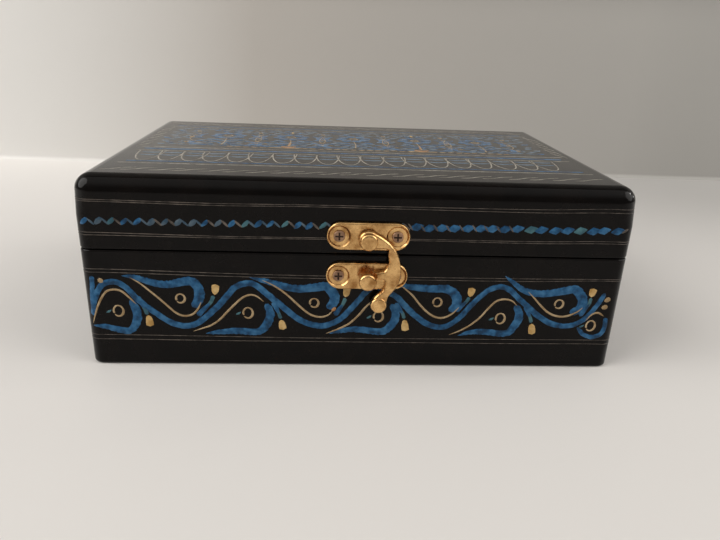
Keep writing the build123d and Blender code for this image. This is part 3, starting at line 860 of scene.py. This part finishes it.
def lining_band(name, node, body):
    """Cloth glued round the inside of the four walls, its free edge rounded."""
    low, high = node_box(node)
    up = 1 if body == "base" else -1
    free, glued = (high[2], low[2]) if body == "base" else (low[2], high[2])
    path, out = band_outline(high[0] - BAND_CORNER, high[1] - BAND_CORNER)
    section, middle = band_section(glued, free, up)
    rings = []
    for reach, z in section:
        sway = [noise.noise(Vector((0.05 * x, 0.05 * y, 0.12 * z))) * (reach < middle) for x, y in path]
        ring = path + out * (reach + BAND_SWAY * np.array(sway))[:, None]
        rings.append(np.column_stack([ring, np.full(len(ring), z)]) * MM)
    rings = np.stack(rings, axis=1)
    rings = rings if body == "lid" else rings[:, ::-1]
    band = add_piece(name, body, VELVET, [(rings, True)])
    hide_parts(node)


def pad_places(half, count):
    """Places across a pad, closer together where it rounds over at its two edges."""
    near = half - np.array(PAD_INSETS)
    inner = half - PAD_MARGIN
    return np.concatenate([-near, np.linspace(-inner, inner, count), near[::-1]])


def lining_pad(name, node, body, crown):
    """Padded cloth on the floor or under the top: rounded at its edges and a little crowned."""
    low, high = node_box(node)
    up = 1 if body == "base" else -1
    glued = low[2] if up > 0 else high[2]
    thick = high[2] - low[2]

    def height(x, y):
        edge = min(high[0] - abs(x), high[1] - abs(y))
        round_off = math.sqrt(1 - (1 - min(edge / PAD_ROUNDING, 1)) ** 2)
        swell = crown * (1 - (x / high[0]) ** 4) * (1 - (y / high[1]) ** 4)
        ripple = PAD_RIPPLE * noise.noise(Vector((0.06 * x, 0.06 * y, up)))
        return PAD_RIM + (thick - PAD_RIM) * round_off + swell + ripple * round_off

    ys = pad_places(high[1], 38)[::-up]
    rings = []
    for x in pad_places(high[0], 58):
        top = [(x, y, glued + up * height(x, y)) for y in ys]
        rings.append([*top, (x, ys[-1], glued), (x, ys[0], glued)])
    pad = add_piece(name, body, VELVET, [(np.array(rings) * MM, False)])
    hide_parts(node)


# ---- Painted shade and dirt in the crosses of the latch screws ----

CROSS_ARM, CROSS_HALF = 1.36, 0.3  # half length and half width of an arm
CROSS_DEPTH, CROSS_PROUD = 0.3, 0.03  # behind and before the screw's face
SCREW_HEAD = 2.0  # radius


def screw_crosses(name, node, body):
    """Dark crosses in the outer two screws of a node: painted shade in their recesses, with some dirt."""
    low, high = node_box(node)
    face, z = low[1], (low[2] + high[2]) / 2
    lofts = []
    for x in (low[0] + SCREW_HEAD, high[0] - SCREW_HEAD):
        outline = []
        for turn in range(4):
            c, s = round(math.cos(turn * math.pi / 2)), round(math.sin(turn * math.pi / 2))
            for a, b in ((CROSS_ARM, -CROSS_HALF), (CROSS_ARM, CROSS_HALF), (CROSS_HALF, CROSS_HALF)):
                outline.append((x + a * c - b * s, z + a * s + b * c))
        rings = [[(a, y, b) for a, b in outline] for y in (face + CROSS_DEPTH, face - CROSS_PROUD)]
        lofts.append((np.array(rings) * MM, False))
    add_piece(name, body, SCREW_SHADE_AND_DIRT, lofts)


# ---- CAD pieces that keep their shape ----


def finish_nodes():
    """Lacquer on the boards and brass on the hinges and the latch, duller on their screws."""
    for name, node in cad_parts.items():
        if name.endswith("_lining"):
            continue
        look = BRASS if "hinge" in name or "latch" in name else LACQUER
        for slot in node.material_slots:
            slot.material = SCREW_BRASS if name.endswith("_screws") else look


# ---- Stage, light and camera ----

ROOM_LOW = (0.055, 0.052, 0.050)  # the room round the box
ROOM_HIGH = (0.77, 0.75, 0.72)  # the soft light overhead
ROOM_RISE = (0.35, 0.9)  # where the one goes over into the other, 1 straight up
PALE_BACKGROUND = (0.22, 0.212, 0.20)  # the room, where it is seen or mirrored past the floor and the wall
CAMERA_PLACE = (-13.2, -262.7, 115.65)
CAMERA_YAW, CAMERA_PITCH, CAMERA_ROLL = 3.77, -21.35, 2.34
CAMERA_LENS = 30.88
WALL_PLACE = 0.278  # how far behind the box's middle the wall stands
WALL_TURN = -0.016  # it comes nearer by this much of the way to the right
WALL_WIDTH = (-0.33, 0.33)  # from left to right, where the stops below lie
# The wall as it is seen, and as it lights the box: painted light makes it brighter to the left, towards the
# left lamp.
WALL_PAINTED_LIGHT_STOPS = ((0.0, (0.715, 0.703, 0.68)), (0.34, (0.455, 0.427, 0.393)),
              (0.96, (0.385, 0.370, 0.346)), (1.0, (0.352, 0.340, 0.318)))
BOUNCED_PAINTED_LIGHT_STOPS = ((0.0, (1.0, 0.985, 0.955)), (0.38, (0.45, 0.432, 0.408)), (1.0, (0.25, 0.24, 0.224)))
WALL_TOP = (0.125, 0.20)  # where painted shade makes the wall darker, above the picture from the camera
WALL_TOP_SHADE = (0.20, 0.193, 0.183)
LAMP_SIDE = (-1.0, -0.4)  # where painted shade makes floor and wall duller, close under the left lamp
LAMP_SIDE_SHADE = (0.42, 0.405, 0.385)
FLOOR_COLOUR = (0.695, 0.672, 0.648)
FLOOR_CORNER_SHADE = (0.44, 0.427, 0.41)  # painted shade: the duller corner at the back right
CORNER_RIGHT, CORNER_BACK = (-0.05, 0.30), (-0.02, 0.22)
LAMP_AIM = (0, 0, 0.04)
LAMP_COLOUR = (1, 0.98, 0.95)
# Name, place and width in metres, and power in watts. The last two put small glints on the lid's right end.
LAMPS = (
    ("left_lamp", (-1.15, -0.38, 0.85), 1.40, 18.3),
    ("right_lamp", (1.10, -0.40, 0.78), 1.20, 8.4),
    ("small_lamp", (0.93, 0.07, 0.60), 0.09, 0.8),
    ("low_lamp", (1.03, 0.20, 0.28), 0.09, 0.6),
)


def background_seen(tree):
    """1 for rays that see the background: straight from the camera, or in a mirror or through glass."""
    kinds = tree.nodes.new("ShaderNodeLightPath").outputs
    seen = kinds["Is Camera Ray"]
    for kind in ("Is Glossy Ray", "Is Transmission Ray"):
        either = tree.nodes.new("ShaderNodeMath")
        either.operation = "MAXIMUM"
        tree.links.new(seen, either.inputs[0])
        tree.links.new(kinds[kind], either.inputs[1])
        seen = either.outputs[0]
    return seen


def position(tree, axis, low, high, kind="Object"):
    """Where a point lies between low and high metres along an axis: 0 to 1, eased at both ends."""
    place = tree.nodes.new("ShaderNodeTexCoord")
    split = tree.nodes.new("ShaderNodeSeparateXYZ")
    reach = tree.nodes.new("ShaderNodeMapRange")
    reach.interpolation_type = "SMOOTHSTEP"
    reach.inputs["From Min"].default_value = low
    reach.inputs["From Max"].default_value = high
    tree.links.new(place.outputs[kind], split.inputs["Vector"])
    tree.links.new(split.outputs[axis], reach.inputs["Value"])
    return reach.outputs["Result"]


def mix_colour(tree, factor, first, second):
    """The first colour where the factor is 0 and the second where it is 1."""
    node = tree.nodes.new("ShaderNodeMix")
    node.data_type = "RGBA"
    tree.links.new(factor, node.inputs["Factor"])
    for socket, colour in (("A", first), ("B", second)):
        target = [k for k in node.inputs if k.name == socket and k.type == "RGBA"][0]
        if isinstance(colour, tuple):
            target.default_value = (*colour, 1)
        else:
            tree.links.new(colour, target)
    return [k for k in node.outputs if k.type == "RGBA"][0]


def stage_mesh(name, points, faces, material):
    """A part of the stage, which isn't part of the object."""
    mesh = bpy.data.meshes.new(name)
    mesh.from_pydata(points, [], faces)
    mesh.shade_smooth()
    mesh.materials.append(material)
    piece = bpy.data.objects.new(name, mesh)
    bpy.context.scene.collection.objects.link(piece)


def wall_material():
    """Wall with painted light, brighter to the left, and painted shade, darker above and close under the left
    lamp. Seen from behind it lets everything through.
    """
    material, tree, shader = new_material("wall")
    shader.inputs["Roughness"].default_value = 0.7
    # painted light: the wall brighter to the left, both as seen and as it lights the box
    seen = ramp(tree, position(tree, "X", *WALL_WIDTH), WALL_PAINTED_LIGHT_STOPS)
    bounced = ramp(tree, position(tree, "X", *WALL_WIDTH), BOUNCED_PAINTED_LIGHT_STOPS)
    lower = mix_colour(tree, background_seen(tree), bounced, seen)
    # painted shade: duller far to the left, close under the left lamp
    lower = mix_colour(tree, position(tree, "X", *LAMP_SIDE), LAMP_SIDE_SHADE, lower)
    # painted shade: darker towards the top of the wall
    colour = mix_colour(tree, position(tree, "Z", *WALL_TOP), lower, WALL_TOP_SHADE)
    tree.links.new(colour, shader.inputs["Base Color"])
    clear = tree.nodes.new("ShaderNodeBsdfTransparent")
    both = tree.nodes.new("ShaderNodeMixShader")
    behind = tree.nodes.new("ShaderNodeNewGeometry")
    tree.links.new(behind.outputs["Backfacing"], both.inputs["Fac"])
    tree.links.new(shader.outputs["BSDF"], both.inputs[1])
    tree.links.new(clear.outputs["BSDF"], both.inputs[2])
    tree.links.new(both.outputs["Shader"], tree.nodes["Material Output"].inputs["Surface"])
    return material


def floor_material():
    """Pale floor with painted shade: a duller corner at the back right, and duller close under the left lamp.
    """
    material, tree, shader = new_material("floor")
    shader.inputs["Roughness"].default_value = 0.55
    # painted shade in the back right corner
    corner = tree.nodes.new("ShaderNodeMath")
    corner.operation = "MULTIPLY"
    tree.links.new(position(tree, "X", *CORNER_RIGHT), corner.inputs[0])
    tree.links.new(position(tree, "Y", *CORNER_BACK), corner.inputs[1])
    colour = mix_colour(tree, corner.outputs[0], FLOOR_COLOUR, FLOOR_CORNER_SHADE)
    # painted shade: duller far to the left, close under the left lamp
    colour = mix_colour(tree, position(tree, "X", *LAMP_SIDE), LAMP_SIDE_SHADE, colour)
    tree.links.new(colour, shader.inputs["Base Color"])
    return material


def add_stage():
    """Floor, and a wall behind the box that it curves up into."""
    far, bend, top = 4.0, 0.003, 2.5  # metres: half the width, radius of the curve, height
    curve = [
        (WALL_PLACE - bend + bend * math.sin(a), bend - bend * math.cos(a))
        for a in np.radians(np.linspace(0, 90, 7))
    ]
    profile = [*curve, (WALL_PLACE, top)]
    points = [(x, y + WALL_TURN * x, z) for x in (-far, far) for y, z in profile]
    n = len(profile)
    faces = [(k, n + k, n + k + 1, k + 1) for k in range(n - 1)]
    stage_mesh("wall", points, faces, wall_material())
    corners = [(-far, -far, 0), (far, -far, 0), (far, far, 0), (-far, far, 0)]
    stage_mesh("floor", corners, [(0, 1, 2, 3)], floor_material())


def add_lamp(name, place, size, power):
    """Round lamp that points at the box."""
    lamp = bpy.data.lights.new(name, "AREA")
    lamp.shape = "DISK"
    lamp.size = size
    lamp.energy = power
    lamp.color = LAMP_COLOUR
    obj = bpy.data.objects.new(name, lamp)
    obj.location = place
    obj.rotation_mode = "QUATERNION"
    obj.rotation_quaternion = (Vector(LAMP_AIM) - Vector(place)).to_track_quat("-Z", "Y")
    bpy.context.scene.collection.objects.link(obj)


def add_world():
    """A dim room under a soft light, less dim to rays that see the background."""
    world = bpy.data.worlds.new("studio")
    world.use_nodes = True
    tree = world.node_tree
    low = mix_colour(tree, background_seen(tree), ROOM_LOW, PALE_BACKGROUND)
    colour = mix_colour(tree, position(tree, "Z", *ROOM_RISE, "Generated"), low, ROOM_HIGH)
    tree.links.new(colour, tree.nodes["Background"].inputs["Color"])
    bpy.context.scene.world = world


def add_camera():
    """Camera where the box was seen from, fitted to its edges."""
    camera = bpy.data.cameras.new("camera")
    camera.lens = CAMERA_LENS
    camera.sensor_width = 36
    camera.clip_start = 0.01
    obj = bpy.data.objects.new("camera", camera)
    turn = Matrix.Rotation(math.radians(-CAMERA_YAW), 4, "Z")
    tilt = Matrix.Rotation(math.radians(90 + CAMERA_PITCH), 4, "X")
    roll = Matrix.Rotation(math.radians(CAMERA_ROLL), 4, "Z")
    obj.matrix_world = Matrix.Translation(Vector(CAMERA_PLACE) * MM) @ turn @ tilt @ roll
    bpy.context.scene.collection.objects.link(obj)
    bpy.context.scene.camera = obj


paint_vines()
paint_lines()
paint_rope()
paint_top()
lining_band("base_velvet_band", "base_side_lining", "base")
lining_band("lid_velvet_band", "lid_side_lining", "lid")
lining_pad("base_velvet_floor", "base_floor_lining", "base", 0.35)
lining_pad("lid_velvet_pad", "lid_top_lining", "lid", 0.9)
# Dark crosses of painted shade and dirt in the latch screws' recesses.
screw_crosses("lid_screw_shade_and_dirt", "latch_lid_screws", "lid")
screw_crosses("base_screw_shade_and_dirt", "latch_base_screws", "base")
finish_nodes()
add_stage()
add_world()
for light in LAMPS:
    add_lamp(*light)
add_camera()
bpy.context.scene.view_settings.view_transform = "Standard"
